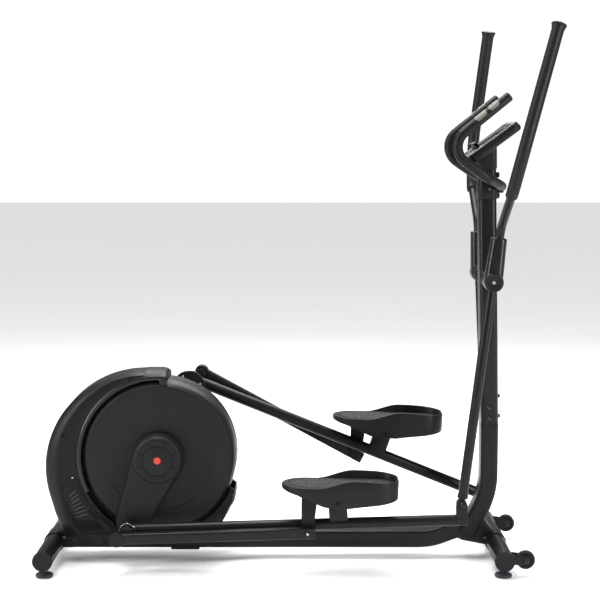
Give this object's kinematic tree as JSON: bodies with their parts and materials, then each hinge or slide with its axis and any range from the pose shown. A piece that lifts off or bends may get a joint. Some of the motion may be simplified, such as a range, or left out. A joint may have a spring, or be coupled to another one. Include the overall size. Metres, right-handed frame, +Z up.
{
  "type": "elliptical trainer",
  "caption": "Rear-drum elliptical trainer: round casing with flywheel, two crank-driven pedal bars, swing arms on a mast, fixed handlebar and small console.",
  "frame": {"origin": "on the floor under the middle of the machine's bounding box", "axes": "+X forward, the way the user faces; +Y to the user's left; +Z up"},
  "size_m": [1.6158, 0.7426, 1.7121],
  "materials": {
    "frame_paint": "black powder coat, fine satin",
    "cap_plastic": "moulded black plastic",
    "foot_rubber": "dark slate rubber",
    "bright_steel": "zinc plated",
    "pulley_plastic": "moulded",
    "cast_wheel": "machined rim",
    "belt_rubber": "ribbed belt",
    "shell_plastic": "fine matt texture",
    "gloss_plastic": "polished",
    "foam": "closed-cell foam, matt",
    "tread_rubber": "ribbed mat",
    "pulse_metal": "satin contact plate",
    "face_silver": "silver paint",
    "key_plastic": "keys"
  },
  "bodies": {
    "frame": {"base_frame": "frame_paint", "rear_stabiliser": "frame_paint", "front_stabiliser": "frame_paint", "stabiliser_caps": "cap_plastic", "frame_pad": "cap_plastic", "frame_bolts": "bright_steel", "mast_lower": "frame_paint", "mast_upper": "frame_paint", "pivot_axle": "bright_steel", "crank_bearings": "bright_steel", "drive_belt": "belt_rubber", "flywheel_axle": "bright_steel", "brake_servo": "cap_plastic", "casing_right": "shell_plastic", "casing_left": "shell_plastic", "drum_cover_right": "shell_plastic", "drum_cover_left": "shell_plastic", "casing_tip": "gloss_plastic", "vent_panels": "cap_plastic", "casing_screws": "bright_steel", "fixed_handlebar": "frame_paint", "handlebar_foam": "foam", "pulse_plates": "pulse_metal", "handlebar_clamp": "cap_plastic", "console_housing": "cap_plastic", "console_face": "face_silver", "tablet_ledge": "cap_plastic"},
    "crank": {"crank_axle": "bright_steel", "crank_arms": "bright_steel", "crank_covers": "shell_plastic", "hub_caps": "shell_plastic", "drive_pulley": "pulley_plastic"},
    "flywheel": {"flywheel": "cast_wheel"},
    "idler": {"idler_pulley": "pulley_plastic"},
    "brake": {"brake_shoe": "bright_steel"},
    "right_wheel": {"wheel_right": "cap_plastic"},
    "left_wheel": {"wheel_left": "cap_plastic"},
    "front_right_foot": {"foot_front_right": "foot_rubber"},
    "front_left_foot": {"foot_front_left": "foot_rubber"},
    "rear_right_foot": {"foot_rear_right": "foot_rubber"},
    "rear_left_foot": {"foot_rear_left": "foot_rubber"},
    "start_key": {"start_button": "key_plastic"},
    "plus_key": {"plus_button": "key_plastic"},
    "minus_key": {"minus_button": "key_plastic"},
    "right_swing_arm": {"swing_arm_right": "frame_paint", "arm_sleeve_right": "gloss_plastic", "handle_grip_right": "foam"},
    "right_pedal_bar": {"pedal_bar_right": "frame_paint"},
    "right_pedal": {"pedal_right": "cap_plastic", "tread_mat_right": "tread_rubber"},
    "right_pedal_link": {"pedal_link_right": "frame_paint"},
    "right_return_crank": {"return_crank_right": "bright_steel"},
    "left_swing_arm": {"swing_arm_left": "frame_paint", "arm_sleeve_left": "gloss_plastic", "handle_grip_left": "foam"},
    "left_pedal_bar": {"pedal_bar_left": "frame_paint"},
    "left_pedal": {"pedal_left": "cap_plastic", "tread_mat_left": "tread_rubber"},
    "left_pedal_link": {"pedal_link_left": "frame_paint"},
    "left_return_crank": {"return_crank_left": "bright_steel"}
  },
  "joints": [
    {"name": "crank_turn", "type": "hinge", "parent": "frame", "child": "crank", "pos_m": [-0.434, 0, 0.345], "axis": [0, 1, 0], "range_deg": [-60, 0]},
    {"name": "flywheel_spin", "type": "hinge", "parent": "frame", "child": "flywheel", "pos_m": [-0.61254, 0, 0.28002], "axis": [0, 1, 0], "continuous": true},
    {"name": "idler_spin", "type": "hinge", "parent": "frame", "child": "idler", "pos_m": [-0.61693, 0.02, 0.35818], "axis": [0, 1, 0], "continuous": true},
    {"name": "brake_open", "type": "hinge", "parent": "frame", "child": "brake", "pos_m": [-0.69627, -0.012, 0.38719], "axis": [0, 1, 0], "range_deg": [0, 6]},
    {"name": "right_arm_swing", "type": "hinge", "parent": "frame", "child": "right_swing_arm", "pos_m": [0.6085, -0.178, 0.9125], "axis": [0, 1, 0], "range_deg": [-18.76, 0]},
    {"name": "right_front_pin", "type": "hinge", "parent": "right_swing_arm", "child": "right_pedal_bar", "pos_m": [0.51947, -0.178, 0.21466], "axis": [0, 1, 0], "range_deg": [0, 19.82]},
    {"name": "right_pedal_tilt", "type": "hinge", "parent": "right_pedal_bar", "child": "right_pedal", "pos_m": [0.13022, -0.178, 0.23685], "axis": [0, 1, 0], "range_deg": [-15.17, 0]},
    {"name": "right_link_pin", "type": "hinge", "parent": "right_pedal", "child": "right_pedal_link", "pos_m": [0.03847, -0.228, 0.13731], "axis": [0, 1, 0], "range_deg": [0, 15.57]},
    {"name": "right_crank_pin", "type": "hinge", "parent": "right_pedal_bar", "child": "right_return_crank", "pos_m": [-0.52385, -0.178, 0.13436], "axis": [0, 1, 0], "range_deg": [-61.1, 0]},
    {"name": "left_arm_swing", "type": "hinge", "parent": "frame", "child": "left_swing_arm", "pos_m": [0.6085, 0.178, 0.9125], "axis": [0, 1, 0], "range_deg": [0, 17.43]},
    {"name": "left_front_pin", "type": "hinge", "parent": "left_swing_arm", "child": "left_pedal_bar", "pos_m": [0.64347, 0.178, 0.20987], "axis": [0, 1, 0], "range_deg": [-20.26, 0]},
    {"name": "left_pedal_tilt", "type": "hinge", "parent": "left_pedal_bar", "child": "left_pedal", "pos_m": [0.29595, 0.178, 0.38663], "axis": [0, 1, 0], "range_deg": [0, 14.45]},
    {"name": "left_link_pin", "type": "hinge", "parent": "left_pedal", "child": "left_pedal_link", "pos_m": [0.20272, 0.228, 0.28848], "axis": [0, 1, 0], "range_deg": [-15.54, 0]},
    {"name": "left_crank_pin", "type": "hinge", "parent": "left_pedal_bar", "child": "left_return_crank", "pos_m": [-0.34415, 0.178, 0.55564], "axis": [0, 1, 0], "range_deg": [-57.22, 0]},
    {"name": "right_wheel_roll", "type": "hinge", "parent": "frame", "child": "right_wheel", "pos_m": [0.714, -0.23, 0.053], "axis": [0, 1, 0], "continuous": true},
    {"name": "left_wheel_roll", "type": "hinge", "parent": "frame", "child": "left_wheel", "pos_m": [0.714, 0.23, 0.053], "axis": [0, 1, 0], "continuous": true},
    {"name": "front_right_foot_height", "type": "slide", "parent": "frame", "child": "front_right_foot", "axis": [0, 0, 1], "range_m": [-0.01, 0.003]},
    {"name": "front_left_foot_height", "type": "slide", "parent": "frame", "child": "front_left_foot", "axis": [0, 0, 1], "range_m": [-0.01, 0.003]},
    {"name": "rear_right_foot_height", "type": "slide", "parent": "frame", "child": "rear_right_foot", "axis": [0, 0, 1], "range_m": [-0.01, 0.003]},
    {"name": "rear_left_foot_height", "type": "slide", "parent": "frame", "child": "rear_left_foot", "axis": [0, 0, 1], "range_m": [-0.01, 0.003]},
    {"name": "start_press", "type": "slide", "parent": "frame", "child": "start_key", "axis": [0.5934, 0, -0.8049], "range_m": [0, 0.0015], "stiffness_N_per_m": 400, "springref_m": -0.0005},
    {"name": "plus_press", "type": "slide", "parent": "frame", "child": "plus_key", "axis": [0.5934, 0, -0.8049], "range_m": [0, 0.0015], "stiffness_N_per_m": 400, "springref_m": -0.0005},
    {"name": "minus_press", "type": "slide", "parent": "frame", "child": "minus_key", "axis": [0.5934, 0, -0.8049], "range_m": [0, 0.0015], "stiffness_N_per_m": 400, "springref_m": -0.0005}
  ],
  "couplings": [
    {"joint": "flywheel_spin", "follows": "crank_turn", "ratio": 8.3333},
    {"joint": "idler_spin", "follows": "crank_turn", "ratio": -10},
    {"joint": "right_arm_swing", "follows": "crank_turn", "ratio": 0.3119},
    {"joint": "right_front_pin", "follows": "crank_turn", "ratio": -0.3295},
    {"joint": "right_pedal_tilt", "follows": "crank_turn", "ratio": 0.252},
    {"joint": "right_link_pin", "follows": "crank_turn", "ratio": -0.2587},
    {"joint": "right_crank_pin", "follows": "crank_turn", "ratio": 1.0175},
    {"joint": "left_arm_swing", "follows": "crank_turn", "ratio": -0.2897},
    {"joint": "left_front_pin", "follows": "crank_turn", "ratio": 0.3368},
    {"joint": "left_pedal_tilt", "follows": "crank_turn", "ratio": -0.24},
    {"joint": "left_link_pin", "follows": "crank_turn", "ratio": 0.2582},
    {"joint": "left_crank_pin", "follows": "crank_turn", "ratio": 0.9529}
  ]
}
